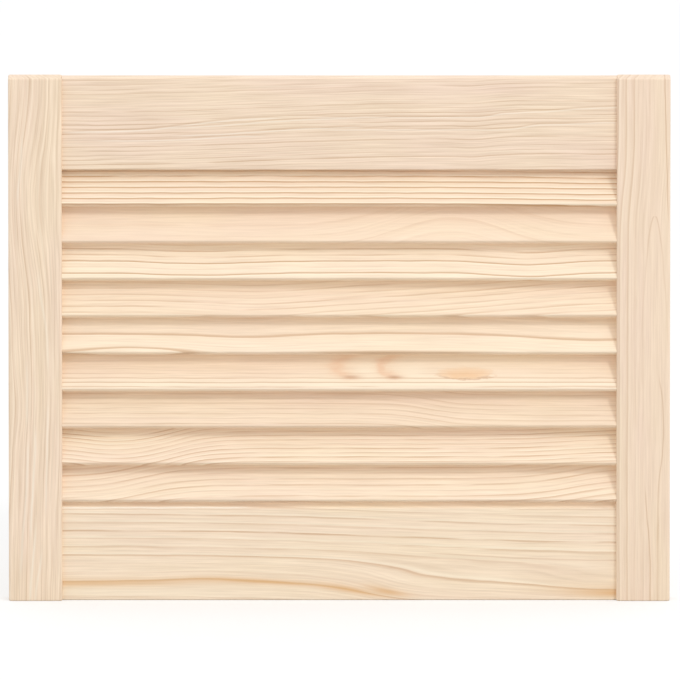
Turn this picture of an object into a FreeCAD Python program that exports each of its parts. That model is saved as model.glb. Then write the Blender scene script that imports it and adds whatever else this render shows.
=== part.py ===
"""Small louvred cabinet door in solid pine.

Two stiles carry the whole door. The rails butt against them on dowels, and a row of leaning slats is
held between them, each slat end standing in a slanting housing routed into the stile.

Frame: millimetres, +Z up, the louvred front facing -Y. The origin is the centre of the left stile's
outer edge, where the hinges are screwed on, and +X runs across the door to the free edge.
"""

import FreeCAD
import Part

import math
import os

# Overall size of the door
door_width = 494.0
door_height = 395.0

# Stiles: the uprights, proud of everything they hold
stile_width = 40.0
stile_thickness = 21.0
stile_edge_round = 2.0
stile_end_round = 1.0

# Rails: the cross pieces, centred in the stiles' thickness
top_rail_height = 70.0
bottom_rail_height = 70.0
rail_thickness = 13.0
rail_edge_round = 1.2
rail_weathering = 20.0  # degrees that the edges beside the slats rise towards the back

# Slats: flat strips with eased edges, the front edge hanging low and the back edge standing high
slat_width = 30.5
slat_thickness = 6.0
slat_edge_round = 1.2
slat_lean = 28.0  # degrees from upright
slat_pitch = 28.0  # wanted spacing, evened out to fill the opening
gap_under_slats = 4.0  # from the bottom rail's front edge up to the lowest slat
tuck_over_slats = 1.5  # height of the top slat's back edge over the top rail's front edge

# Housings in the stiles, which the slat ends stand in
housing_depth = 8.0
housing_clearance = 0.1
slat_end_gap = 0.5

# Dowels across each rail joint, half their length in either piece
dowel_diameter = 8.0
dowel_length = 40.0
dowel_spacing = 36.0
dowel_flutes = 16
dowel_chamfer = 1.0
dowel_clearance = 0.1
dowel_end_gap = 1.0

# Places that follow from the sizes above
door_bottom = -door_height / 2
door_top = door_height / 2
rail_length = door_width - 2 * stile_width
opening_bottom = door_bottom + bottom_rail_height
opening_top = door_top - top_rail_height
lean = math.radians(slat_lean)
weathering_rise = rail_thickness * math.tan(math.radians(rail_weathering))
slat_core_width = slat_width - 2 * slat_edge_round
slat_core_thickness = slat_thickness - 2 * slat_edge_round
slat_rise = slat_core_width * math.cos(lean) + slat_core_thickness * math.sin(lean) + 2 * slat_edge_round
slat_length = rail_length + 2 * (housing_depth - slat_end_gap)
ALONG_X = FreeCAD.Vector(1, 0, 0)
ALONG_Z = FreeCAD.Vector(0, 0, 1)


def slat_heights():
    """Heights of the slats' centres, from the top of the opening down, evenly spaced."""
    lowest = opening_bottom + gap_under_slats + slat_rise / 2
    highest = opening_top + tuck_over_slats - slat_rise / 2
    spaces = max(1, round((highest - lowest) / slat_pitch))
    step = (highest - lowest) / spaces
    return [highest - step * i for i in range(spaces + 1)]


def rounded_section(corners, rounds):
    """Face with straight sides, each corner with its own radius."""
    arcs = []
    count = len(corners)
    for i, corner in enumerate(corners):
        before = (corners[i - 1] - corner).normalize()
        after = (corners[(i + 1) % count] - corner).normalize()
        half_angle = before.getAngle(after) / 2
        inwards = (before + after).normalize()
        reach = rounds[i] / math.tan(half_angle)
        middle = corner + inwards * (rounds[i] / math.sin(half_angle) - rounds[i])
        arcs.append(Part.Arc(corner + before * reach, middle, corner + after * reach))
    outline = []
    for i, arc in enumerate(arcs):
        outline.append(arc.toShape())
        following = arcs[(i + 1) % count]
        outline.append(Part.LineSegment(arc.EndPoint, following.StartPoint).toShape())
    return Part.Face(Part.Wire(outline))


def slat_section(x, z, allowance=0.0):
    """Section of a leaning slat across X, centred at (x, 0, z) and larger all round by the allowance."""
    centre = FreeCAD.Vector(x, 0, z)
    up = FreeCAD.Vector(0, math.sin(lean), math.cos(lean)) * (slat_width / 2 + allowance)
    out = FreeCAD.Vector(0, -math.cos(lean), math.sin(lean)) * (slat_thickness / 2 + allowance)
    corners = [centre - up + out, centre + up + out, centre + up - out, centre - up - out]
    return rounded_section(corners, [slat_edge_round + allowance] * len(corners))


def rail_dowel_heights(rail_bottom, rail_height):
    """Heights of the two dowels that hold one end of a rail."""
    middle = rail_bottom + rail_height / 2
    return {"upper": middle + dowel_spacing / 2, "lower": middle - dowel_spacing / 2}


def dowel_hole(joint_x, z):
    """Drilled hole for one dowel, through the joint face into both pieces."""
    length = dowel_length + 2 * dowel_end_gap
    start = FreeCAD.Vector(joint_x - length / 2, 0, z)
    return Part.makeCylinder(dowel_diameter / 2 + dowel_clearance, length, start, ALONG_X)


def make_dowel(joint_x, z):
    """Dowel with flat flutes and chamfered ends, centred on the joint face."""
    start = joint_x - dowel_length / 2
    full = dowel_diameter / 2
    stations = [
        (start, full - dowel_chamfer),
        (start + dowel_chamfer, full),
        (start + dowel_length - dowel_chamfer, full),
        (start + dowel_length, full - dowel_chamfer),
    ]
    turns = [2 * math.pi * flute / dowel_flutes for flute in range(dowel_flutes)]
    spokes = [FreeCAD.Vector(0, math.cos(turn), math.sin(turn)) for turn in turns]
    rings = [[FreeCAD.Vector(x, 0, z) + spoke * radius for spoke in spokes] for x, radius in stations]
    outlines = [rings[0], rings[-1]]
    for near, far in zip(rings, rings[1:]):
        for i in range(dowel_flutes):
            outlines.append([near[i - 1], near[i], far[i], far[i - 1]])
    facets = [Part.Face(Part.makePolygon(outline + outline[:1])) for outline in outlines]
    return Part.Solid(Part.Shell(facets))


def make_left_stile():
    """Upright with rounded edges, the slats' slanting housings and the rails' dowel holes."""
    front = -stile_thickness / 2
    back = stile_thickness / 2
    corners = [
        FreeCAD.Vector(0, front, door_bottom),
        FreeCAD.Vector(stile_width, front, door_bottom),
        FreeCAD.Vector(stile_width, back, door_bottom),
        FreeCAD.Vector(0, back, door_bottom),
    ]
    stile = rounded_section(corners, [stile_edge_round] * len(corners)).extrude(ALONG_Z * door_height)
    ends = [edge for edge in stile.Edges if edge.BoundBox.ZLength < stile_end_round / 2]
    stile = stile.makeFillet(stile_end_round, ends)
    cuts = []
    for z in slat_heights():
        mouth = slat_section(stile_width - housing_depth, z, housing_clearance)
        cuts.append(mouth.extrude(ALONG_X * (2 * housing_depth)))
    for rail_bottom, rail_height in rails().values():
        for z in rail_dowel_heights(rail_bottom, rail_height).values():
            cuts.append(dowel_hole(stile_width, z))
    return stile.cut(cuts)


def rails():
    """Bottom height and rail height of each rail, by name."""
    return {
        "top": (opening_top, top_rail_height),
        "bottom": (door_bottom, bottom_rail_height),
    }


def joint_faces():
    """Where each rail end meets a stile, by side."""
    return {"left": stile_width, "right": door_width - stile_width}


def make_rail(end, rail_bottom, rail_height):
    """Cross piece with eased long edges, the edge beside the slats rising towards the back."""
    front = -rail_thickness / 2
    back = rail_thickness / 2
    rail_top = rail_bottom + rail_height
    back_bottom = rail_bottom + (weathering_rise if end == "top" else 0)
    back_top = rail_top + (weathering_rise if end == "bottom" else 0)
    corners = [
        FreeCAD.Vector(stile_width, front, rail_bottom),
        FreeCAD.Vector(stile_width, back, back_bottom),
        FreeCAD.Vector(stile_width, back, back_top),
        FreeCAD.Vector(stile_width, front, rail_top),
    ]
    rail = rounded_section(corners, [rail_edge_round] * len(corners)).extrude(ALONG_X * rail_length)
    holes = []
    for joint_x in joint_faces().values():
        for z in rail_dowel_heights(rail_bottom, rail_height).values():
            holes.append(dowel_hole(joint_x, z))
    return rail.cut(holes)


def make_slat(z):
    """One slat, from inside the left stile's housing to inside the right stile's."""
    start = stile_width - housing_depth + slat_end_gap
    return slat_section(start, z).extrude(ALONG_X * slat_length)


def make_parts():
    """Every piece of the door by name."""
    left_stile = make_left_stile()
    middle = FreeCAD.Vector(door_width / 2, 0, 0)
    pieces = {"left_stile": left_stile, "right_stile": left_stile.mirror(middle, ALONG_X)}
    for end, (rail_bottom, rail_height) in rails().items():
        pieces[f"{end}_rail"] = make_rail(end, rail_bottom, rail_height)
        for side, joint_x in joint_faces().items():
            for level, z in rail_dowel_heights(rail_bottom, rail_height).items():
                pieces[f"dowel_{end}_{side}_{level}"] = make_dowel(joint_x, z)
    for number, z in enumerate(slat_heights(), start=1):
        pieces[f"slat_{number:02d}"] = make_slat(z)
    return pieces


os.makedirs("parts", exist_ok=True)
for name, shape in make_parts().items():
    solids = shape.Solids
    print(name, "solids", len(solids), "valid", shape.isValid(), "volume", round(shape.Volume))
    shape.exportStep(f"parts/{name}.step")
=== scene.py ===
"""Dressed scene of a small louvred cabinet door in pale, unfinished pine.

The boards of the door come from the frame and stay where they are. Each one is given its own cut of wood:
growth rings worked out in three dimensions about the heart of the log, so that the faces, the round edges
and the end grain of a board agree. Lengths in the finishes are millimetres, all else is metres.
"""

import logging
import math
from abc import ABC, abstractmethod
from dataclasses import dataclass
from enum import Enum
from typing import ClassVar, Optional, Sequence, Union

import bpy
from mathutils import Euler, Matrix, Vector


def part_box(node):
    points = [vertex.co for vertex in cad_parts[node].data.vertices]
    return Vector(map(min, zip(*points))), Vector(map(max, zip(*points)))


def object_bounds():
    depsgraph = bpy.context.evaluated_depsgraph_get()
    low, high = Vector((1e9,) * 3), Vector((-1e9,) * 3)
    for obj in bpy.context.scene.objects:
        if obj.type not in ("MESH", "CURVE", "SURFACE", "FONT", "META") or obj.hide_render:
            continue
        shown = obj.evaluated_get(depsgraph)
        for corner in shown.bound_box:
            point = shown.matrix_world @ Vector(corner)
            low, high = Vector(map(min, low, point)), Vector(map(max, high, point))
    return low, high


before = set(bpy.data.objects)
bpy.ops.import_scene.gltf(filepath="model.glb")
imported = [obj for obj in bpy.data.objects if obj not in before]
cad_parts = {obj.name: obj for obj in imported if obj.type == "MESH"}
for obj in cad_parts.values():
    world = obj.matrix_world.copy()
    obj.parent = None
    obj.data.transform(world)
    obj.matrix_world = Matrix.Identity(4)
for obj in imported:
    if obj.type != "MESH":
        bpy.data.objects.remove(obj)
cad_low, cad_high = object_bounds()

logging.basicConfig(level=logging.INFO, format="%(message)s")
log = logging.getLogger("louvred_door")

Socket = bpy.types.NodeSocket
Term = Union[float, Socket]
Colour = tuple[float, float, float, float]
Ink = Union[Socket, Colour]
Graph = tuple[tuple[float, float], ...]

MM = 0.001
WHITE: Colour = (1.0, 1.0, 1.0, 1.0)

# Light curve of a screen: a straight toe, then a power
SCREEN_FULL = 255
SCREEN_TOE = 0.04045
SCREEN_TOE_SLOPE = 12.92
SCREEN_LIFT = 0.055
SCREEN_POWER = 2.4


class Maths(Enum):
    """Sums that a finish is worked out with."""

    ADD = "ADD"
    SUBTRACT = "SUBTRACT"
    MULTIPLY = "MULTIPLY"
    POWER = "POWER"
    ROOT = "SQRT"
    WHOLE = "FLOOR"
    PART = "FRACT"
    BEND = "TANH"
    RAISE = "EXPONENT"
    SIZE = "ABSOLUTE"
    LARGER = "MAXIMUM"


class Run(Enum):
    """Which way the grain of a board runs, as the turn from the door's axes to the board's own."""

    ACROSS = (0.0, 0.0, 0.0)
    UPRIGHT = (0.0, -math.pi / 2, 0.0)


class Blend(Enum):
    """How one colour is laid over another."""

    COVER = "MIX"
    STAIN = "MULTIPLY"


def paint(red: int, green: int, blue: int) -> Colour:
    """Linear colour of a tone given as it looks on a screen.

    Args:
        red: Red from 0 to 255.
        green: Green from 0 to 255.
        blue: Blue from 0 to 255.

    Returns:
        The colour with an alpha of one.
    """
    linear = []
    for level in (red, green, blue):
        share = level / SCREEN_FULL
        if share <= SCREEN_TOE:
            linear.append(share / SCREEN_TOE_SLOPE)
        else:
            linear.append(((share + SCREEN_LIFT) / (1 + SCREEN_LIFT)) ** SCREEN_POWER)
    return (linear[0], linear[1], linear[2], 1.0)


@dataclass(frozen=True)
class Field:
    """A smooth random field in a board.

    The step keeps it apart from the board's other fields. A cell has a length along the grain, a thickness
    behind the face and a height across the face, and the detail is how many finer layers there are.
    """

    step: float
    cell: tuple[float, float, float]
    detail: float


class FinishSheet:
    """Node tree of one material, with short calls for the sums that draw a finish."""

    # Where a mix node keeps its colour sockets
    mix_share: ClassVar[int] = 0
    mix_below: ClassVar[int] = 6
    mix_above: ClassVar[int] = 7
    mix_result: ClassVar[int] = 2

    def __init__(self, name: str) -> None:
        """Starts an empty material.

        Args:
            name: Name of the material.
        """
        self.material = bpy.data.materials.new(name)
        self.material.use_nodes = True
        self.tree = self.material.node_tree
        self.tree.nodes.clear()

    def feed(self, socket: Socket, term: Union[Term, Colour]) -> None:
        """Sets a socket to a plain value, or links it to another node's output.

        Args:
            socket: The socket that is fed.
            term: The value, or the output that is linked to it.
        """
        if isinstance(term, bpy.types.NodeSocket):
            self.tree.links.new(term, socket)
        else:
            socket.default_value = term

    def work(self, step: Maths, first: Term, second: Term = 0.0) -> Socket:
        """Works out one sum.

        Args:
            step: Which sum it is.
            first: The number or socket on the left.
            second: The number or socket on the right, where the sum has one.

        Returns:
            The socket that holds the result.
        """
        node = self.tree.nodes.new("ShaderNodeMath")
        node.operation = step.value
        self.feed(node.inputs[0], first)
        self.feed(node.inputs[1], second)
        return node.outputs[0]

    def add(self, first: Term, second: Term) -> Socket:
        """Sum of two terms."""
        return self.work(Maths.ADD, first, second)

    def take(self, first: Term, second: Term) -> Socket:
        """First term less the second."""
        return self.work(Maths.SUBTRACT, first, second)

    def times(self, first: Term, second: Term) -> Socket:
        """Product of two terms."""
        return self.work(Maths.MULTIPLY, first, second)

    def square(self, term: Term) -> Socket:
        """Term times itself."""
        return self.work(Maths.MULTIPLY, term, term)

    def reach(self, first: Term, second: Term) -> Socket:
        """Length of the long side of a right triangle."""
        return self.work(Maths.ROOT, self.add(self.square(first), self.square(second)))

    def bell(self, term: Term, middle: float, spread: float) -> Socket:
        """Bell curve of a term, one at its middle and nought far away."""
        offset = self.times(self.take(term, middle), 1 / spread)
        return self.work(Maths.RAISE, self.times(self.square(offset), -1.0))

    def slope(self, term: Term, middle: float, spread: float) -> Socket:
        """Soft step of a term, from nought before its middle to one after it."""
        bent = self.work(Maths.BEND, self.times(self.take(term, middle), 1 / spread))
        return self.add(self.times(bent, 0.5), 0.5)

    def swing(self, field: Socket, size: float) -> Socket:
        """Field from nought to one, as one that swings by a size to either side of nought."""
        return self.times(self.take(field, 0.5), 2 * size)

    def ramp(self, term: Socket, graph: Graph) -> Socket:
        """Reads a term off a graph of straight stretches.

        Args:
            term: A socket that runs from nought to one.
            graph: Pairs of place and height along the graph.

        Returns:
            The socket that holds the height.
        """
        node = self.tree.nodes.new("ShaderNodeValToRGB")
        stops = node.color_ramp.elements
        while len(stops) < len(graph):
            stops.new(1.0)
        for stop, (place, height) in zip(stops, graph):
            stop.position = place
            stop.color = (height, height, height, 1.0)
        self.feed(node.inputs[0], term)
        return node.outputs[0]

    def scale(self, vector: Socket, factors: Sequence[float]) -> Socket:
        """Multiplies each of the three parts of a vector by its own factor.

        Args:
            vector: The socket that holds the vector.
            factors: The three factors.

        Returns:
            The socket that holds the result.
        """
        node = self.tree.nodes.new("ShaderNodeVectorMath")
        node.operation = "MULTIPLY"
        self.feed(node.inputs[0], vector)
        node.inputs[1].default_value = factors
        return node.outputs[0]

    def noise(self, place: Socket, field: Field, seed: float) -> Socket:
        """Draws a smooth random field.

        Args:
            place: The place in the board, in millimetres.
            field: Which field it is.
            seed: A number of the board's or the mark's own, so that no two are alike.

        Returns:
            The socket that holds the field, from nought to one.
        """
        node = self.tree.nodes.new("ShaderNodeTexNoise")
        node.noise_dimensions = "4D"
        self.feed(node.inputs["Vector"], self.scale(place, [1 / size for size in field.cell]))
        node.inputs["W"].default_value = seed + field.step
        node.inputs["Scale"].default_value = 1.0
        node.inputs["Detail"].default_value = field.detail
        return node.outputs[0]

    def lottery(self, term: Socket, seed: float) -> Socket:
        """Draws a random number that stays the same for the same term.

        Args:
            term: The socket that holds the term.
            seed: A number of the board's own, so that boards differ.

        Returns:
            The socket that holds the number, from nought to one.
        """
        node = self.tree.nodes.new("ShaderNodeTexWhiteNoise")
        node.noise_dimensions = "1D"
        self.feed(node.inputs["W"], self.add(term, seed))
        return node.outputs["Value"]

    def lay(self, way: Blend, share: Term, below: Ink, above: Ink) -> Socket:
        """Lays one colour over another.

        Args:
            way: Whether it covers or stains.
            share: How much of it is laid on, from nought to one.
            below: The colour that is there.
            above: The colour that is laid on.

        Returns:
            The socket that holds the colour.
        """
        node = self.tree.nodes.new("ShaderNodeMix")
        node.data_type = "RGBA"
        node.blend_type = way.value
        self.feed(node.inputs[self.mix_share], share)
        self.feed(node.inputs[self.mix_below], below)
        self.feed(node.inputs[self.mix_above], above)
        return node.outputs[self.mix_result]


@dataclass(frozen=True)
class WoodTones:
    """Colours of one kind of wood, as they look on a screen in plain light."""

    wood: str = "pine"
    honey: Colour = paint(243, 221, 194)
    rose: Colour = paint(241, 216, 195)
    cream: Colour = paint(252, 236, 212)
    # Pale line tone: pale grain lines, and painted highlights along the bottom rail's top edge and under the
    # top rail's grain lines
    pale_line_and_highlight: Colour = paint(255, 247, 232)
    latewood: Colour = paint(193, 153, 112)
    amber: Colour = paint(228, 184, 132)
    eye: Colour = paint(238, 190, 138)
    rim: Colour = paint(176, 124, 88)
    swirl: Colour = paint(236, 188, 150)


HEARTWOOD = WoodTones()
# Paler pine; also a painted lighter copy of the wood, which stands in for the extra light that the up-facing
# slats catch
PALE_PINE_PAINTED_LIGHTER = WoodTones(
    honey=paint(247, 226, 197),
    rose=paint(245, 221, 197),
    cream=paint(255, 242, 218),
    latewood=paint(198, 153, 110),
)
BEECH = WoodTones(
    wood="beech",
    honey=paint(214, 181, 148),
    rose=paint(211, 172, 141),
    cream=paint(226, 196, 164),
)


@dataclass(frozen=True)
class BoardFace:
    """What is drawn on: a board's node sheet, its colours, and where a point lies in the board.

    The place is in millimetres from the board's centre, along the grain, behind the face and up across the
    face. The trembling height is for single lines, which are never quite straight.
    """

    sheet: FinishSheet
    tones: WoodTones
    point: Socket
    along: Socket
    behind: Socket
    height: Socket
    trembling: Socket


@dataclass(frozen=True)
class Bend(ABC):
    """A change in the course of the grain lines, upwards, or downwards where the rise is negative.

    With a spread, only the lines about its height follow it.
    """

    at: float
    over: float
    rise: float
    height: float = 0.0
    spread: Optional[float] = None

    @abstractmethod
    def course(self, face: BoardFace) -> Socket:
        """Share of the rise at a place along the board."""

    def lift(self, face: BoardFace) -> Socket:
        """Works out how far the lines are lifted at a place.

        Args:
            face: The board face that is drawn on.

        Returns:
            The socket that holds the lift.
        """
        sheet = face.sheet
        lift = sheet.times(self.course(face), self.rise)
        if self.spread:
            lift = sheet.times(lift, sheet.bell(face.height, self.height, self.spread))
        return lift


@dataclass(frozen=True)
class Climb(Bend):
    """A stretch over which the grain lines rise, and stay up after it."""

    def course(self, face: BoardFace) -> Socket:
        """Share of the rise, nought before the stretch and one after it."""
        return face.sheet.slope(face.along, self.at, self.over)


@dataclass(frozen=True)
class Swell(Bend):
    """A place where the grain lines bulge and come back."""

    def course(self, face: BoardFace) -> Socket:
        """Share of the rise, one at the place and nought far away."""
        return face.sheet.bell(face.along, self.at, self.over)


@dataclass(frozen=True)
class Patch:
    """A long soft spot on a board, which follows the grain lines."""

    at: float
    over: float
    height: float
    spread: float
    share: float

    def cover(self, face: BoardFace, level: Socket) -> Socket:
        """Works out how much of the patch lies at a place.

        Args:
            face: The board face that is drawn on.
            level: Height across the face, with the grain lines pulled straight.

        Returns:
            The socket that holds the cover, from nought to the patch's share.
        """
        sheet = face.sheet
        within_length = sheet.bell(face.along, self.at, self.over)
        within_height = sheet.bell(level, self.height, self.spread)
        return sheet.times(sheet.times(within_length, within_height), self.share)


class Mark(ABC):
    """A figure of its own that is drawn over the rings of a board."""

    @abstractmethod
    def draw(self, face: BoardFace, colour: Socket) -> Socket:
        """Draws the mark.

        Args:
            face: The board face that is drawn on.
            colour: The colour that is there.

        Returns:
            The socket that holds the colour with the mark on it.
        """


@dataclass(frozen=True)
class OvalMark(Mark):
    """A mark about a ragged oval."""

    at: float
    height: float
    half_length: float
    half_height: float

    edge: ClassVar[Field]
    raggedness: ClassVar[float] = 0.35

    def oval(self, face: BoardFace) -> tuple[Socket, Socket, Socket]:
        """Measures a place in half lengths and half heights of the oval.

        Args:
            face: The board face that is drawn on.

        Returns:
            The offset along the board, the offset up, and the distance out, which is one at the ragged edge.
        """
        sheet = face.sheet
        beside = sheet.times(sheet.take(face.along, self.at), 1 / self.half_length)
        above = sheet.times(sheet.take(face.height, self.height), 1 / self.half_height)
        ragged = sheet.swing(sheet.noise(face.point, self.edge, self.at), self.raggedness)
        return beside, above, sheet.add(sheet.reach(beside, above), ragged)


@dataclass(frozen=True)
class Knot(OvalMark):
    """A small live knot cut at a slant: an eye that fades upwards, with a dark lower rim."""

    depth: float
    rim: float

    edge: ClassVar[Field] = Field(step=0.0, cell=(7.0, 6.0, 2.0), detail=3.0)
    eye_graph: ClassVar[Graph] = ((0.0, 1.0), (0.5, 0.85), (0.8, 0.5), (1.0, 0.0))
    rim_graph: ClassVar[Graph] = ((0.0, 0.0), (0.72, 0.0), (0.86, 1.0), (1.0, 0.0))
    fade_at: ClassVar[float] = 0.1
    fade_over: ClassVar[float] = 0.5
    fade_share: ClassVar[float] = 0.5
    rim_at: ClassVar[float] = 0.35
    rim_over: ClassVar[float] = 0.3

    def draw(self, face: BoardFace, colour: Socket) -> Socket:
        """Draws the eye, then the rim under it.

        Args:
            face: The board face that is drawn on.
            colour: The colour that is there.

        Returns:
            The socket that holds the colour with the knot on it.
        """
        sheet = face.sheet
        _, above, ring = self.oval(face)
        fade = sheet.times(sheet.slope(above, self.fade_at, self.fade_over), self.fade_share)
        eye = sheet.times(sheet.ramp(ring, self.eye_graph), sheet.take(1.0, fade))
        colour = sheet.lay(Blend.COVER, sheet.times(eye, self.depth), colour, face.tones.eye)
        under = sheet.slope(sheet.times(above, -1.0), self.rim_at, self.rim_over)
        shade = sheet.times(sheet.ramp(ring, self.rim_graph), under)
        return sheet.lay(Blend.COVER, sheet.times(shade, self.rim), colour, face.tones.rim)


@dataclass(frozen=True)
class Swirl(OvalMark):
    """Grain that turns back on itself beside a knot: a crescent, open to the right, with a dark tip."""

    share: float
    tip: float

    edge: ClassVar[Field] = Field(step=0.0, cell=(8.0, 6.0, 3.0), detail=2.0)
    band_at: ClassVar[float] = 0.85
    band_width: ClassVar[float] = 0.3
    closed_at: ClassVar[float] = 0.15
    closed_over: ClassVar[float] = 0.35
    tip_beside: ClassVar[float] = -0.28
    tip_length: ClassVar[float] = 0.32
    tip_above: ClassVar[float] = -0.85
    tip_height: ClassVar[float] = 0.14

    def draw(self, face: BoardFace, colour: Socket) -> Socket:
        """Draws the crescent, then its tip.

        Args:
            face: The board face that is drawn on.
            colour: The colour that is there.

        Returns:
            The socket that holds the colour with the swirl on it.
        """
        sheet = face.sheet
        beside, above, ring = self.oval(face)
        band = sheet.bell(ring, self.band_at, self.band_width)
        closed = sheet.slope(sheet.times(beside, -1.0), self.closed_at, self.closed_over)
        crescent = sheet.times(sheet.times(band, closed), self.share)
        colour = sheet.lay(Blend.COVER, crescent, colour, face.tones.swirl)
        tip_along = sheet.bell(beside, self.tip_beside, self.tip_length)
        tip_up = sheet.bell(above, self.tip_above, self.tip_height)
        shade = sheet.times(sheet.times(tip_along, tip_up), self.tip)
        return sheet.lay(Blend.COVER, shade, colour, face.tones.rim)


@dataclass(frozen=True)
class Vein(Mark):
    """One thin dark line along a stretch of the board. The groove highlight is a painted highlight just
    under it, where light from above would catch the lower side of the groove.
    """

    start: float
    end: float
    height: float
    share: float
    width: float = 0.45
    groove_highlight: float = 0.0
    bends: tuple[Climb, ...] = ()

    fade: ClassVar[float] = 6.0
    groove_highlight_gap: ClassVar[float] = 1.3

    def tone(self, tones: WoodTones) -> Colour:
        """Colour of the line."""
        return tones.latewood

    def draw(self, face: BoardFace, colour: Socket) -> Socket:
        """Draws the line, then its painted groove highlight.

        Args:
            face: The board face that is drawn on.
            colour: The colour that is there.

        Returns:
            The socket that holds the colour with the vein on it.
        """
        sheet = face.sheet
        offset = sheet.take(face.trembling, self.height)
        for bend in self.bends:
            offset = sheet.take(offset, bend.lift(face))
        begun = sheet.slope(face.along, self.start, self.fade)
        ended = sheet.slope(face.along, self.end, self.fade)
        present = sheet.times(begun, sheet.take(1.0, ended))
        line = sheet.times(sheet.bell(offset, 0.0, self.width), present)
        colour = sheet.lay(Blend.COVER, sheet.times(line, self.share), colour, self.tone(face.tones))
        # Painted highlight just under the line, standing in for light on the groove's lower side
        if self.groove_highlight:
            under = sheet.times(sheet.bell(offset, -self.groove_highlight_gap, self.width), present)
            colour = sheet.lay(Blend.COVER, sheet.times(under, self.groove_highlight), colour, face.tones.pale_line_and_highlight)
        return colour


@dataclass(frozen=True)
class PaleVeinAndHighlight(Vein):
    """One pale line along a stretch of the board. It draws pale grain lines, and also the painted highlight
    along the bottom rail's rounded top edge.
    """

    width: float = 0.85

    def tone(self, tones: WoodTones) -> Colour:
        """Colour of the line."""
        return tones.pale_line_and_highlight


@dataclass(frozen=True)
class Arch(Mark):
    """One ring cut at a slant: a thin pointed arch that opens towards the start of the board."""

    at: float
    height: float
    length: float
    widen: float
    share: float
    width: float = 0.5

    tip_at: ClassVar[float] = 0.4
    tip_over: ClassVar[float] = 0.3

    def draw(self, face: BoardFace, colour: Socket) -> Socket:
        """Draws the arch, which fades towards its feet.

        Args:
            face: The board face that is drawn on.
            colour: The colour that is there.

        Returns:
            The socket that holds the colour with the arch on it.
        """
        sheet = face.sheet
        below = sheet.work(Maths.LARGER, sheet.take(self.at, face.along), 0.0)
        half_width = sheet.times(sheet.work(Maths.ROOT, below), self.widen)
        offset = sheet.work(Maths.SIZE, sheet.take(face.trembling, self.height))
        line = sheet.bell(sheet.take(offset, half_width), 0.0, self.width)
        fading = sheet.work(Maths.RAISE, sheet.times(below, -1 / self.length))
        shown = sheet.times(sheet.times(line, fading), sheet.slope(below, self.tip_at, self.tip_over))
        return sheet.lay(Blend.COVER, sheet.times(shown, self.share), colour, face.tones.latewood)


@dataclass(frozen=True)
class BoardCut:
    """How one board was sawn from its log, in millimetres about the board's centre.

    Attributes:
        ring: Thickness of a growth ring.
        heart: Where the middle of the log lies, up across the board's face and behind it.
        start: Count of rings at the board's centre.
        crisp: How sharply the dark lines stand out.
        faint: Strength of the faintest rings, where the strongest have one.
        bold: Counts of the rings that show at full strength.
        uneven: How much the rings stray from even spacing, in rings.
        wave: How far the lines wander.
        wave_length: Over what length they wander.
        contrast: Strength of the dark lines.
        pale_lines: Strength of the pale lines beside them.
        streaks: Depth of the fine streaks.
        blush: How rosy the wood is.
        pallor: How creamy the wood is.
        seed: Number of the board's own for its random fields.
        tones: Colours of the wood.
        bends: Where the lines climb or swell.
        calms: Where the rings fade.
        ambers: Amber spots.
        creams: Cream spots.
        marks: Figures on top, in the order in which they are drawn.
    """

    ring: float
    heart: tuple[float, float]
    start: float = 0.0
    crisp: float = 1.0
    faint: float = 0.15
    bold: tuple[float, ...] = ()
    uneven: float = 0.3
    wave: float = 0.6
    wave_length: float = 70.0
    contrast: float = 0.5
    pale_lines: float = 0.6
    streaks: float = 0.16
    blush: float = 0.5
    pallor: float = 0.0
    seed: float = 0.0
    tones: WoodTones = HEARTWOOD
    bends: tuple[Bend, ...] = ()
    calms: tuple[Patch, ...] = ()
    ambers: tuple[Patch, ...] = ()
    creams: tuple[Patch, ...] = ()
    marks: tuple[Mark, ...] = ()

    rings_in_step: ClassVar[float] = 2.5

    def wander(self) -> Field:
        """Field by which the lines wander."""
        return Field(step=0.0, cell=(self.wave_length, 30.0, 22.0), detail=2.0)

    def spacing(self) -> Field:
        """Field by which the rings stray from even spacing, a few rings at a time."""
        return Field(step=5.0, cell=(800.0, 60.0, self.rings_in_step * self.ring), detail=1.0)


@dataclass(frozen=True)
class Grain:
    """Course of the growth rings at a place in a board.

    The level is the height across the face with the grain lines pulled straight, the line place has the
    distance out from the heart in place of the height, and the rings are counted outwards.
    """

    level: Socket
    line_place: Socket
    rings: Socket


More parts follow.
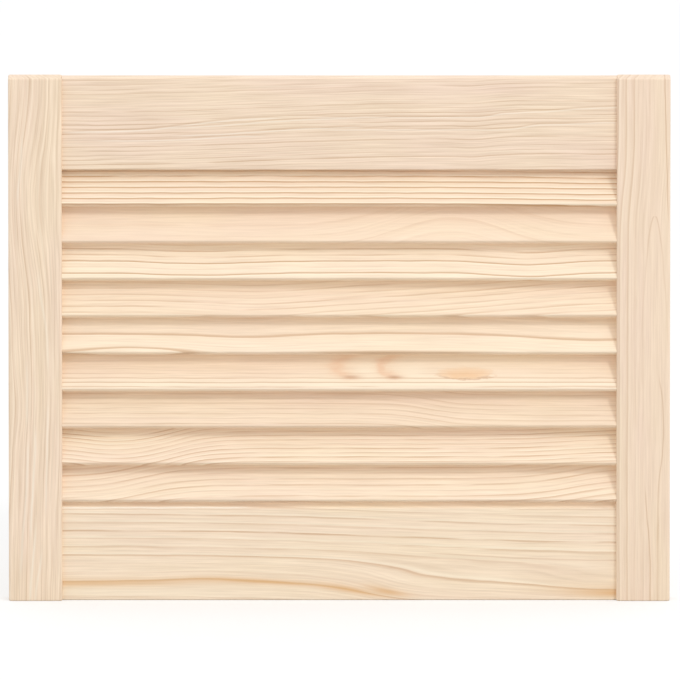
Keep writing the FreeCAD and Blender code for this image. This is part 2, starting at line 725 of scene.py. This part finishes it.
@dataclass(frozen=True)
class WoodFinish:
    """Sanded, unfinished wood for one board, drawn from its cut."""

    cut: BoardCut
    ripple: float = 0.45
    bold_width: float = 0.3
    blotch: float = 1.1
    stain_weights: tuple[float, float, float] = (0.85, 1.0, 1.2)
    fibre_shade: float = 0.1
    end_facing: float = 0.75
    end_soft: float = 0.15
    end_shade: float = 0.05
    roughness: float = 0.62
    roughness_swing: float = 0.1
    shine: float = 0.3
    relief: float = 0.12 * MM
    relief_strength: float = 0.6
    fibre_height: float = 0.6

    ripples: ClassVar[Field] = Field(step=41.0, cell=(24.0, 30.0, 8.0), detail=1.0)
    tremble: ClassVar[Field] = Field(step=47.0, cell=(16.0, 30.0, 8.0), detail=1.0)
    breaks: ClassVar[Field] = Field(step=11.0, cell=(42.0, 30.0, 2.5), detail=2.0)
    blotches: ClassVar[Field] = Field(step=17.0, cell=(110.0, 24.0, 18.0), detail=2.0)
    streaks: ClassVar[Field] = Field(step=29.0, cell=(50.0, 25.0, 1.0), detail=1.5)
    fibres: ClassVar[Field] = Field(step=23.0, cell=(22.0, 0.7, 0.7), detail=2.0)
    luck_step: ClassVar[float] = 0.37

    # One growth ring from early wood to late wood: slow darkening, then a sharp end and a pale start
    late_graph: ClassVar[Graph] = (
        (0.0, 0.25),
        (0.06, 0.0),
        (0.5, 0.03),
        (0.7, 0.22),
        (0.84, 0.85),
        (0.9, 1.0),
        (0.97, 1.0),
        (1.0, 0.25),
    )
    pale_graph: ClassVar[Graph] = ((0.0, 0.0), (0.07, 1.0), (0.16, 0.8), (0.34, 0.0), (1.0, 0.0))
    breaks_graph: ClassVar[Graph] = ((0.36, 0.15), (0.5, 0.8), (0.62, 1.0))

    def face(self, name: str, centre: Vector, turn: Euler) -> BoardFace:
        """Starts the material and works out where a point lies in the board.

        Args:
            name: Name of the material.
            centre: Centre of the board.
            turn: Turn from the door's axes to the board's own.

        Returns:
            The board face to draw on.
        """
        sheet = FinishSheet(name)
        coordinates = sheet.tree.nodes.new("ShaderNodeTexCoord")
        mapping = sheet.tree.nodes.new("ShaderNodeMapping")
        mapping.vector_type = "TEXTURE"
        mapping.inputs["Location"].default_value = centre
        mapping.inputs["Rotation"].default_value = turn
        mapping.inputs["Scale"].default_value = (MM, MM, MM)
        sheet.feed(mapping.inputs["Vector"], coordinates.outputs["Object"])
        point = mapping.outputs["Vector"]
        parts = sheet.tree.nodes.new("ShaderNodeSeparateXYZ")
        sheet.feed(parts.inputs[0], point)
        along, behind, height = parts.outputs
        tremble = sheet.swing(sheet.noise(point, self.tremble, self.cut.seed), self.ripple)
        trembling = sheet.add(height, tremble)
        return BoardFace(sheet, self.cut.tones, point, along, behind, height, trembling)

    def level(self, face: BoardFace) -> Socket:
        """Pulls the grain lines straight.

        Args:
            face: The board face that is drawn on.

        Returns:
            The socket that holds the height across the face, less every wave, ripple and bend of the lines.
        """
        sheet = face.sheet
        cut = self.cut
        wander = sheet.swing(sheet.noise(face.point, cut.wander(), cut.seed), cut.wave)
        ripple = sheet.swing(sheet.noise(face.point, self.ripples, cut.seed), self.ripple)
        level = sheet.add(sheet.add(face.height, wander), ripple)
        for bend in cut.bends:
            level = sheet.take(level, bend.lift(face))
        return level

    def grain(self, face: BoardFace) -> Grain:
        """Counts the growth rings out from the heart.

        Args:
            face: The board face that is drawn on.

        Returns:
            The course of the rings.
        """
        sheet = face.sheet
        cut = self.cut
        level = self.level(face)
        up, back = cut.heart
        from_heart = sheet.reach(sheet.take(level, up), sheet.take(face.behind, back))
        out = sheet.take(from_heart, math.hypot(up, back))
        joined = sheet.tree.nodes.new("ShaderNodeCombineXYZ")
        for socket, term in zip(joined.inputs, (face.along, face.behind, out)):
            sheet.feed(socket, term)
        line_place = joined.outputs[0]
        even = sheet.add(sheet.times(out, 1 / cut.ring), cut.start)
        stray = sheet.swing(sheet.noise(line_place, cut.spacing(), cut.seed), cut.uneven)
        return Grain(level, line_place, sheet.add(even, stray))

    def line_strength(self, face: BoardFace, grain: Grain) -> Socket:
        """Works out how strongly each ring shows: some are faint, and all come and go along the board.

        Args:
            face: The board face that is drawn on.
            grain: The course of the rings.

        Returns:
            The socket that holds the strength.
        """
        sheet = face.sheet
        cut = self.cut
        luck = sheet.lottery(sheet.work(Maths.WHOLE, grain.rings), cut.seed + self.luck_step)
        strength = sheet.add(sheet.times(luck, 1 - cut.faint), cut.faint)
        breaks = sheet.noise(grain.line_place, self.breaks, cut.seed)
        strength = sheet.times(strength, sheet.ramp(breaks, self.breaks_graph))
        for count in cut.bold:
            strength = sheet.work(Maths.LARGER, strength, sheet.bell(grain.rings, count, self.bold_width))
        for calm in cut.calms:
            strength = sheet.times(strength, sheet.take(1.0, calm.cover(face, grain.level)))
        return sheet.times(strength, cut.contrast)

    def body_colour(self, face: BoardFace, grain: Grain, fibre: Socket) -> Socket:
        """Colours the wood between the ring lines: blotches, streaks and fibres.

        Args:
            face: The board face that is drawn on.
            grain: The course of the rings.
            fibre: The field of the fibres.

        Returns:
            The socket that holds the colour.
        """
        sheet = face.sheet
        cut = self.cut
        blotch = sheet.swing(sheet.noise(face.point, self.blotches, cut.seed), self.blotch)
        warmth = sheet.add(blotch, cut.blush)
        colour = sheet.lay(Blend.COVER, warmth, face.tones.honey, face.tones.rose)
        colour = sheet.lay(Blend.COVER, cut.pallor, colour, face.tones.cream)
        streak = sheet.swing(sheet.noise(grain.line_place, self.streaks, cut.seed), cut.streaks)
        shade = sheet.add(streak, sheet.swing(fibre, self.fibre_shade))
        stain = sheet.tree.nodes.new("ShaderNodeCombineColor")
        for socket, weight in zip(stain.inputs, self.stain_weights):
            sheet.feed(socket, sheet.add(sheet.times(shade, weight), 1.0))
        return sheet.lay(Blend.STAIN, 1.0, colour, stain.outputs[0])

    def end_grain(self, face: BoardFace, colour: Socket, turn: Euler) -> Socket:
        """Darkens the sawn ends a little, where the grain meets the surface.

        Args:
            face: The board face that is drawn on.
            colour: The colour that is there.
            turn: Turn from the door's axes to the board's own.

        Returns:
            The socket that holds the colour with the ends darkened.
        """
        sheet = face.sheet
        geometry = sheet.tree.nodes.new("ShaderNodeNewGeometry")
        along_grain = sheet.tree.nodes.new("ShaderNodeVectorMath")
        along_grain.operation = "DOT_PRODUCT"
        sheet.feed(along_grain.inputs[0], geometry.outputs["True Normal"])
        along_grain.inputs[1].default_value = turn.to_matrix() @ Vector((1.0, 0.0, 0.0))
        facing = sheet.work(Maths.SIZE, along_grain.outputs["Value"])
        end = sheet.slope(facing, self.end_facing, self.end_soft)
        return sheet.lay(Blend.COVER, sheet.times(end, self.end_shade), colour, face.tones.latewood)

    def surface(self, face: BoardFace, colour: Socket, fibre: Socket, late: Socket) -> None:
        """Joins the colour to a dull surface with a slight relief.

        Args:
            face: The board face that is drawn on.
            colour: The colour of the wood.
            fibre: The field of the fibres, which stand out.
            late: The dark ring lines, which lie a little lower.
        """
        sheet = face.sheet
        shader = sheet.tree.nodes.new("ShaderNodeBsdfPrincipled")
        sheet.feed(shader.inputs["Base Color"], colour)
        uneven_gloss = sheet.swing(fibre, self.roughness_swing)
        sheet.feed(shader.inputs["Roughness"], sheet.add(uneven_gloss, self.roughness))
        shader.inputs["Specular IOR Level"].default_value = self.shine
        bump = sheet.tree.nodes.new("ShaderNodeBump")
        bump.inputs["Strength"].default_value = self.relief_strength
        bump.inputs["Distance"].default_value = self.relief
        sheet.feed(bump.inputs["Height"], sheet.take(sheet.times(fibre, self.fibre_height), late))
        sheet.feed(shader.inputs["Normal"], bump.outputs[0])
        output = sheet.tree.nodes.new("ShaderNodeOutputMaterial")
        sheet.feed(output.inputs["Surface"], shader.outputs[0])

    def material(self, name: str, centre: Vector, turn: Euler) -> bpy.types.Material:
        """Makes the material for a board at a given place.

        Args:
            name: Name of the material.
            centre: Centre of the board.
            turn: Turn from the door's axes to the board's own.

        Returns:
            The finished material.
        """
        cut = self.cut
        face = self.face(name, centre, turn)
        sheet = face.sheet
        grain = self.grain(face)
        strength = self.line_strength(face, grain)
        phase = sheet.work(Maths.PART, grain.rings)
        band = sheet.work(Maths.POWER, sheet.ramp(phase, self.late_graph), cut.crisp)
        late = sheet.times(band, strength)
        pale = sheet.times(sheet.ramp(phase, self.pale_graph), sheet.times(strength, cut.pale_lines))
        fibre = sheet.noise(face.point, self.fibres, cut.seed)

        colour = self.body_colour(face, grain, fibre)
        for cream in cut.creams:
            colour = sheet.lay(Blend.COVER, cream.cover(face, grain.level), colour, face.tones.cream)
        colour = sheet.lay(Blend.COVER, late, colour, face.tones.latewood)
        colour = sheet.lay(Blend.COVER, pale, colour, face.tones.cream)
        for amber in cut.ambers:
            colour = sheet.lay(Blend.COVER, amber.cover(face, grain.level), colour, face.tones.amber)
        for mark in cut.marks:
            colour = mark.draw(face, colour)
        colour = self.end_grain(face, colour, turn)
        self.surface(face, colour, fibre, late)
        return sheet.material


@dataclass
class Board:
    """One board of the door, which stands where the frame has it."""

    node: str
    cut: BoardCut
    run: Run = Run.ACROSS
    tilt: float = 0.0

    def centre(self) -> Vector:
        """Middle of the board's box."""
        low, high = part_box(self.node)
        return (Vector(low) + Vector(high)) / 2

    def turn(self) -> Euler:
        """Turn from the door's axes to the board's own."""
        about_x, about_y, about_z = self.run.value
        return Euler((about_x - self.tilt, about_y, about_z))

    def dress(self) -> None:
        """Gives the board its own cut of wood."""
        piece = bpy.data.objects[self.node]
        name = f"{self.cut.tones.wood}_{self.node}"
        piece.data.materials.clear()
        piece.data.materials.append(WoodFinish(self.cut).material(name, self.centre(), self.turn()))
        log.info("%s dressed", self.node)


@dataclass
class Stiles:
    """The two uprights, sawn from different logs."""

    left_cut: BoardCut = BoardCut(
        ring=3.4,
        heart=(-260.0, 60.0),
        crisp=0.8,
        contrast=0.5,
        pale_lines=1.3,
        wave=1.3,
        wave_length=55.0,
        streaks=0.28,
        blush=0.3,
        seed=3.1,
        bends=(
            Climb(at=-130.0, over=60.0, rise=-4.5),
            Swell(at=108.0, over=58.0, rise=9.5, height=6.0, spread=20.0),
            Swell(at=-53.0, over=24.0, rise=-3.0, height=12.0, spread=7.0),
        ),
        marks=(
            PaleVeinAndHighlight(
                start=-175.0, end=-80.0, height=11.5, share=0.36,
                bends=(Climb(at=-135.0, over=40.0, rise=-6.2),),
            ),
            PaleVeinAndHighlight(
                start=-146.0, end=-70.0, height=4.2, share=0.4,
                bends=(Climb(at=-112.0, over=35.0, rise=-4.8),),
            ),
            PaleVeinAndHighlight(
                start=-128.0, end=-50.0, height=-7.6, share=0.3,
                bends=(Climb(at=-100.0, over=30.0, rise=-1.6),),
            ),
            PaleVeinAndHighlight(
                start=-198.0, end=-142.0, height=4.2, share=0.4,
                bends=(Climb(at=-165.0, over=25.0, rise=-4.8),),
            ),
            PaleVeinAndHighlight(
                start=-200.0, end=-160.0, height=0.4, share=0.33,
                bends=(Climb(at=-177.0, over=14.0, rise=-5.6),),
            ),
            PaleVeinAndHighlight(start=-64.0, end=-20.0, height=6.0, share=0.33),
            PaleVeinAndHighlight(
                start=-20.0, end=50.0, height=-9.5, share=0.28,
                bends=(Climb(at=25.0, over=22.0, rise=8.0),),
            ),
            PaleVeinAndHighlight(
                start=105.0, end=150.0, height=13.5, share=0.34,
                bends=(Climb(at=122.0, over=14.0, rise=-4.0),),
            ),
        ),
    )
    right_cut: BoardCut = BoardCut(
        ring=5.8,
        heart=(260.0, 40.0),
        start=0.63,
        crisp=0.8,
        faint=0.4,
        bold=(-1.0, -2.0, -3.0),
        uneven=0.08,
        contrast=0.34,
        pale_lines=1.1,
        wave=0.6,
        wave_length=90.0,
        streaks=0.14,
        blush=0.4,
        seed=8.4,
        bends=(Climb(at=112.0, over=25.0, rise=-5.0),),
        calms=(Patch(at=0.0, over=900.0, height=-12.0, spread=15.0, share=1.0),),
        marks=(
            Vein(
                start=95.0, end=230.0, height=-18.9, share=0.5,
                bends=(Climb(at=150.0, over=70.0, rise=4.0),),
            ),
            Vein(
                start=-150.0, end=-30.0, height=-11.2, share=0.4,
                bends=(Climb(at=-95.0, over=14.0, rise=-4.2), Climb(at=-36.0, over=14.0, rise=4.8)),
            ),
            Vein(
                start=-230.0, end=-114.0, height=-5.5, share=0.5,
                bends=(Climb(at=-138.0, over=22.0, rise=4.2),),
            ),
            Vein(start=-230.0, end=-140.0, height=-11.0, share=0.25, width=0.8),
            Arch(at=94.0, height=-8.4, length=60.0, widen=1.05, share=0.35),
        ),
    )

    def dress(self) -> None:
        """Dresses both uprights."""
        Board("left_stile", self.left_cut, Run.UPRIGHT).dress()
        Board("right_stile", self.right_cut, Run.UPRIGHT).dress()


@dataclass
class Rails:
    """The two cross pieces."""

    top_cut: BoardCut = BoardCut(
        ring=3.3,
        heart=(260.0, 40.0),
        crisp=1.5,
        contrast=0.64,
        pale_lines=0.8,
        wave=0.9,
        wave_length=60.0,
        streaks=0.25,
        seed=14.2,
        bends=(
            Climb(at=-60.0, over=110.0, rise=8.0),
            Climb(at=117.0, over=14.0, rise=1.3),
            Swell(at=98.0, over=12.0, rise=-0.6),
        ),
        calms=(
            Patch(at=-230.0, over=110.0, height=36.0, spread=3.5, share=0.85),
            Patch(at=-60.0, over=70.0, height=32.0, spread=3.5, share=0.85),
            Patch(at=60.0, over=80.0, height=28.5, spread=3.5, share=0.85),
            Patch(at=220.0, over=100.0, height=27.0, spread=3.5, share=0.85),
        ),
        # The pale lines under these dark lines are painted highlights, as where light from above catches the
        # lower side of each groove
        marks=(
            Vein(
                start=-200.0, end=-45.0, height=-5.2, share=0.35, width=0.5, groove_highlight=0.5,
                bends=(Climb(at=-112.0, over=40.0, rise=10.8),),
            ),
            Vein(
                start=-125.0, end=10.0, height=-4.0, share=0.38, groove_highlight=0.45,
                bends=(Climb(at=-70.0, over=70.0, rise=10.5),),
            ),
            Vein(
                start=-178.0, end=-60.0, height=-11.6, share=0.35, groove_highlight=0.45,
                bends=(Climb(at=-100.0, over=25.0, rise=3.5),),
            ),
            Vein(
                start=-120.0, end=15.0, height=-8.2, share=0.35, groove_highlight=0.45,
                bends=(Climb(at=-58.0, over=45.0, rise=7.0),),
            ),
            Vein(
                start=-10.0, end=215.0, height=-3.4, share=0.35, groove_highlight=0.4,
                bends=(Climb(at=138.0, over=10.0, rise=3.5), Climb(at=180.0, over=30.0, rise=2.3)),
            ),
            Vein(
                start=-20.0, end=215.0, height=6.0, share=0.35, groove_highlight=0.4,
                bends=(Climb(at=116.0, over=8.0, rise=2.6), Climb(at=165.0, over=35.0, rise=5.4)),
            ),
        ),
    )
    bottom_cut: BoardCut = BoardCut(
        ring=6.1,
        heart=(-300.0, 60.0),
        start=0.1,
        crisp=1.7,
        faint=0.4,
        bold=(0.0, -3.0),
        uneven=0.06,
        contrast=0.66,
        pale_lines=1.0,
        wave=0.7,
        wave_length=120.0,
        streaks=0.2,
        blush=0.4,
        pallor=0.14,
        seed=21.7,
        tones=PALE_PINE_PAINTED_LIGHTER,
        bends=(
            Climb(at=40.0, over=130.0, rise=-9.8),
            Climb(at=25.0, over=36.0, rise=-14.5, height=-28.0, spread=19.0),
            Climb(at=160.0, over=30.0, rise=-3.5, height=-28.0, spread=15.0),
            Swell(at=-99.0, over=40.0, rise=1.6, height=-19.0, spread=9.0),
            Swell(at=-230.0, over=90.0, rise=-1.6, height=-21.0, spread=9.0),
        ),
        calms=(
            Patch(at=0.0, over=900.0, height=-10.5, spread=6.5, share=0.97),
            Patch(at=0.0, over=900.0, height=-29.0, spread=5.0, share=0.95),
            Patch(at=0.0, over=900.0, height=40.0, spread=8.0, share=0.9),
            Patch(at=235.0, over=130.0, height=3.9, spread=2.0, share=0.95),
        ),
        ambers=(
            Patch(at=-195.0, over=95.0, height=-22.6, spread=3.1, share=0.7),
            Patch(at=-60.0, over=60.0, height=-21.2, spread=1.9, share=0.85),
            Patch(at=8.0, over=22.0, height=-21.1, spread=2.6, share=0.8),
            Patch(at=36.0, over=15.0, height=-16.5, spread=3.0, share=0.8),
            Patch(at=222.0, over=50.0, height=-5.4, spread=4.8, share=1.0),
        ),
        creams=(Patch(at=-150.0, over=100.0, height=-30.0, spread=4.5, share=0.4),),
        marks=(
            # Painted highlight along the rail's rounded top edge, partly a pale grain line
            PaleVeinAndHighlight(start=-260.0, end=-70.0, height=33.0, share=0.85, width=0.55),
            Vein(start=-260.0, end=-60.0, height=31.9, share=0.22, width=0.4),
            Vein(start=130.0, end=260.0, height=31.5, share=0.3, width=0.5),
            Vein(
                start=70.0, end=280.0, height=0.0, share=0.32, width=0.55,
                bends=(Climb(at=105.0, over=60.0, rise=-7.2),),
            ),
        ),
    )

    def dress(self) -> None:
        """Dresses both cross pieces."""
        Board("top_rail", self.top_cut).dress()
        Board("bottom_rail", self.bottom_cut).dress()


def slat_tint(share: float) -> Patch:
    """Patch that tints a whole slat."""
    return Patch(at=0.0, over=600.0, height=0.0, spread=40.0, share=share)


@dataclass
class LouvreSlats:
    """The leaning slats, from the top one down, each from another board."""

    lean: float = math.radians(28.0)
    cuts: tuple[BoardCut, ...] = (
        BoardCut(
            ring=4.3,
            heart=(-240.0, 30.0),
            start=0.21,
            crisp=0.9,
            bold=(1.0, 0.0, -1.0, -2.0, -3.0),
            uneven=0.1,
            contrast=0.95,
            pale_lines=0.9,
            wave=0.3,
            wave_length=140.0,
            seed=31.0,
            tones=PALE_PINE_PAINTED_LIGHTER,
            bends=(Climb(at=150.0, over=60.0, rise=-1.8),),
        ),
        BoardCut(
            ring=9.0,
            heart=(-200.0, 80.0),
            contrast=0.18,
            wave=2.0,
            streaks=0.1,
            blush=0.75,
            seed=32.3,
            tones=PALE_PINE_PAINTED_LIGHTER,
            bends=(Swell(at=83.0, over=58.0, rise=24.0),),
            ambers=(slat_tint(0.05),),
        ),
        BoardCut(
            ring=4.55,
            heart=(220.0, 60.0),
            start=0.43,
            crisp=1.5,
            bold=(1.0, 3.0),
            uneven=0.06,
            contrast=0.9,
            pale_lines=0.9,
            wave=0.8,
            wave_length=110.0,
            pallor=0.25,
            seed=33.9,
            tones=PALE_PINE_PAINTED_LIGHTER,
            bends=(Swell(at=-105.0, over=45.0, rise=-2.0), Swell(at=140.0, over=35.0, rise=-3.0)),
        ),
        BoardCut(
            ring=4.6,
            heart=(240.0, 60.0),
            crisp=1.5,
            faint=0.3,
            contrast=0.75,
            pale_lines=0.8,
            wave=0.8,
            seed=34.6,
            tones=PALE_PINE_PAINTED_LIGHTER,
            bends=(Climb(at=120.0, over=110.0, rise=20.0), Swell(at=-60.0, over=55.0, rise=-3.0)),
            ambers=(slat_tint(0.035),),
        ),
        BoardCut(
            ring=14.0,
            heart=(220.0, 70.0),
            start=0.814,
            crisp=5.0,
            bold=(1.0, 2.0),
            uneven=0.05,
            contrast=0.6,
            pale_lines=0.0,
            wave=0.6,
            pallor=0.2,
            seed=35.2,
            tones=PALE_PINE_PAINTED_LIGHTER,
            bends=(
                Swell(at=-156.0, over=44.0, rise=4.5, height=-13.0, spread=5.0),
                Swell(at=-70.0, over=40.0, rise=-2.4),
                Swell(at=42.0, over=45.0, rise=0.3),
                Swell(at=190.0, over=60.0, rise=-5.0),
            ),
        ),
        BoardCut(
            ring=3.4,
            heart=(200.0, 60.0),
            start=0.853,
            bold=(3.0, 4.0),
            uneven=0.05,
            contrast=0.7,
            wave=0.4,
            blush=0.6,
            seed=36.8,
            tones=PALE_PINE_PAINTED_LIGHTER,
            calms=(Patch(at=0.0, over=400.0, height=6.0, spread=10.0, share=0.95),),
            ambers=(Patch(at=0.0, over=500.0, height=4.0, spread=11.0, share=0.13),),
            creams=(
                Patch(at=72.0, over=95.0, height=2.0, spread=16.0, share=0.4),
                Patch(at=20.0, over=9.0, height=0.0, spread=6.5, share=0.6),
                Patch(at=54.0, over=12.0, height=0.0, spread=6.5, share=0.6),
                Patch(at=0.0, over=600.0, height=-11.0, spread=4.5, share=0.5),
            ),
            marks=(
                Knot(at=94.0, height=-2.6, half_length=23.0, half_height=5.6, depth=0.75, rim=0.4),
                Swirl(at=14.5, height=3.0, half_length=20.0, half_height=10.2, share=0.5, tip=0.45),
                Swirl(at=46.0, height=2.8, half_length=17.0, half_height=10.0, share=0.55, tip=0.55),
            ),
        ),
        BoardCut(
            ring=3.8,
            heart=(-240.0, 50.0),
            contrast=0.45,
            wave=0.5,
            blush=0.3,
            seed=37.5,
            bends=(Climb(at=68.0, over=28.0, rise=-9.5),),
            ambers=(slat_tint(0.045),),
        ),
        BoardCut(
            ring=3.3,
            heart=(-240.0, 40.0),
            faint=0.55,
            contrast=0.72,
            pale_lines=1.2,
            wave=0.5,
            seed=38.1,
            tones=PALE_PINE_PAINTED_LIGHTER,
            bends=(
                Climb(at=-190.0, over=18.0, rise=-5.0),
                Climb(at=-125.0, over=30.0, rise=16.0),
                Climb(at=165.0, over=35.0, rise=4.0),
            ),
        ),
        BoardCut(
            ring=4.4,
            heart=(-240.0, 50.0),
            faint=0.35,
            contrast=0.6,
            wave=0.6,
            blush=0.7,
            pallor=0.1,
            seed=39.7,
            tones=PALE_PINE_PAINTED_LIGHTER,
            bends=(Climb(at=-150.0, over=35.0, rise=16.0), Climb(at=175.0, over=40.0, rise=14.0)),
        ),
    )

    def dress(self) -> None:
        """Dresses each slat with its own cut."""
        for number, cut in enumerate(self.cuts, start=1):
            Board(f"slat_{number:02d}", cut, Run.ACROSS, self.lean).dress()


@dataclass
class RailDowels:
    """The beech pins inside the rail joints."""

    cut: BoardCut = BoardCut(ring=1.6, heart=(30.0, 12.0), contrast=0.3, wave=0.2, seed=51.0, tones=BEECH)

    def dress(self) -> None:
        """Dresses every dowel in the frame."""
        for node in sorted(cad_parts):
            if node.startswith("dowel_"):
                Board(node, self.cut).dress()


@dataclass
class Studio:
    """Pale floor, soft light and the camera.

    The places of the door in the picture are pixels from its left and top edges, and the door is enlarged
    a little beyond them, to come nearer to its height in the picture.
    """

    picture_side: float = 680.0
    door_left: float = 10.6
    door_right: float = 668.0
    door_middle_down: float = 338.0
    enlarge: float = 1.006
    elevation: float = math.radians(9.0)
    distance: float = 20.0
    far_limit: float = 60.0
    sensor: float = 36.0
    floor_half: float = 40.0
    floor_glow: float = 0.375
    floor_colour: Colour = (0.6, 0.6, 0.6, 1.0)
    sky_level: float = 1.0
    backdrop_level: float = 1.0
    key_azimuth: float = math.radians(36.0)
    key_elevation: float = math.radians(37.0)
    key_distance: float = 6.0
    key_size: float = 1.0
    key_watts: float = 80.0

    def middle(self) -> Vector:
        """Middle of the door."""
        return (Vector(cad_low) + Vector(cad_high)) / 2

    def seen_by_eye(self, tree: bpy.types.NodeTree) -> Socket:
        """Tells the rays that are seen from those that only carry light.

        Args:
            tree: The node tree that asks.

        Returns:
            The socket that is one for rays from the camera, mirrors and glass, and nought for the rest.
        """
        path = tree.nodes.new("ShaderNodeLightPath")
        seen = path.outputs["Is Camera Ray"]
        for name in ("Is Glossy Ray", "Is Transmission Ray"):
            larger = tree.nodes.new("ShaderNodeMath")
            larger.operation = Maths.LARGER.value
            tree.links.new(seen, larger.inputs[0])
            tree.links.new(path.outputs[name], larger.inputs[1])
            seen = larger.outputs[0]
        return seen

    def floor_finish(self) -> bpy.types.Material:
        """Makes the dull floor, which glows a little for the eye so that it looks white.

        Returns:
            The finished material.
        """
        sheet = FinishSheet("pale_floor")
        diffuse = sheet.tree.nodes.new("ShaderNodeBsdfDiffuse")
        diffuse.inputs["Color"].default_value = self.floor_colour
        glow = sheet.tree.nodes.new("ShaderNodeEmission")
        sheet.feed(glow.inputs["Strength"], sheet.times(self.seen_by_eye(sheet.tree), self.floor_glow))
        both = sheet.tree.nodes.new("ShaderNodeAddShader")
        sheet.feed(both.inputs[0], diffuse.outputs[0])
        sheet.feed(both.inputs[1], glow.outputs[0])
        output = sheet.tree.nodes.new("ShaderNodeOutputMaterial")
        sheet.feed(output.inputs["Surface"], both.outputs[0])
        return sheet.material

    def build_floor(self) -> None:
        """Lays the pale floor that the door stands on."""
        mesh = bpy.data.meshes.new("floor")
        half = self.floor_half
        level = cad_low[2]
        middle = self.middle()
        corners = [
            (middle.x + half * side_x, middle.y + half * side_y, level)
            for side_x, side_y in ((-1, -1), (1, -1), (1, 1), (-1, 1))
        ]
        mesh.from_pydata(corners, [], [(0, 1, 2, 3)])
        floor = bpy.data.objects.new("floor", mesh)
        bpy.context.scene.collection.objects.link(floor)
        mesh.materials.append(self.floor_finish())

    def build_world(self) -> None:
        """Sets the soft light from all round, and white behind the floor."""
        world = bpy.data.worlds.new("studio")
        bpy.context.scene.world = world
        world.use_nodes = True
        tree = world.node_tree
        tree.nodes.clear()
        mix = tree.nodes.new("ShaderNodeMixShader")
        tree.links.new(self.seen_by_eye(tree), mix.inputs[0])
        for socket, level in zip(mix.inputs[1:], (self.sky_level, self.backdrop_level)):
            light = tree.nodes.new("ShaderNodeBackground")
            light.inputs["Color"].default_value = WHITE
            light.inputs["Strength"].default_value = level
            tree.links.new(light.outputs[0], socket)
        output = tree.nodes.new("ShaderNodeOutputWorld")
        tree.links.new(mix.outputs[0], output.inputs["Surface"])

    def build_key(self) -> None:
        """Hangs the soft lamp high on the right, in front of the door."""
        lamp = bpy.data.lights.new("key", "AREA")
        lamp.shape = "SQUARE"
        lamp.size = self.key_size
        lamp.energy = self.key_watts
        key = bpy.data.objects.new("key", lamp)
        bpy.context.scene.collection.objects.link(key)
        away = Vector(
            (
                math.sin(self.key_azimuth) * math.cos(self.key_elevation),
                -math.cos(self.key_azimuth) * math.cos(self.key_elevation),
                math.sin(self.key_elevation),
            )
        )
        key.location = self.middle() + away * self.key_distance
        key.rotation_euler = (-away).to_track_quat("-Z", "Y").to_euler()

    def build_camera(self) -> None:
        """Sets the camera in front of the door and a little above it, far off with a long lens."""
        data = bpy.data.cameras.new("camera")
        camera = bpy.data.objects.new("camera", data)
        bpy.context.scene.collection.objects.link(camera)
        bpy.context.scene.camera = camera
        door_width = cad_high[0] - cad_low[0]
        metres_per_pixel = door_width / (self.door_right - self.door_left) / self.enlarge
        data.sensor_width = self.sensor
        data.lens = self.sensor * self.distance / (metres_per_pixel * self.picture_side)
        data.clip_end = self.far_limit
        half_side = self.picture_side / 2
        right = half_side - (self.door_left + self.door_right) / 2
        up = self.door_middle_down - half_side
        view_up = Vector((0.0, math.sin(self.elevation), math.cos(self.elevation)))
        aim = self.middle() + Vector((right * metres_per_pixel, 0.0, 0.0)) + view_up * up * metres_per_pixel
        back = Vector((0.0, -math.cos(self.elevation), math.sin(self.elevation)))
        camera.location = aim + back * self.distance
        camera.rotation_euler = Euler((math.pi / 2 - self.elevation, 0.0, 0.0))

    def build(self) -> None:
        """Builds the whole studio."""
        bpy.context.scene.view_settings.view_transform = "Standard"
        self.build_floor()
        self.build_world()
        self.build_key()
        self.build_camera()
        log.info("studio built")


def main() -> None:
    """Builds and dresses the door, then the studio round it."""
    Stiles().dress()
    Rails().dress()
    LouvreSlats().dress()
    RailDowels().dress()
    Studio().build()


if __name__ == "__main__":
    main()
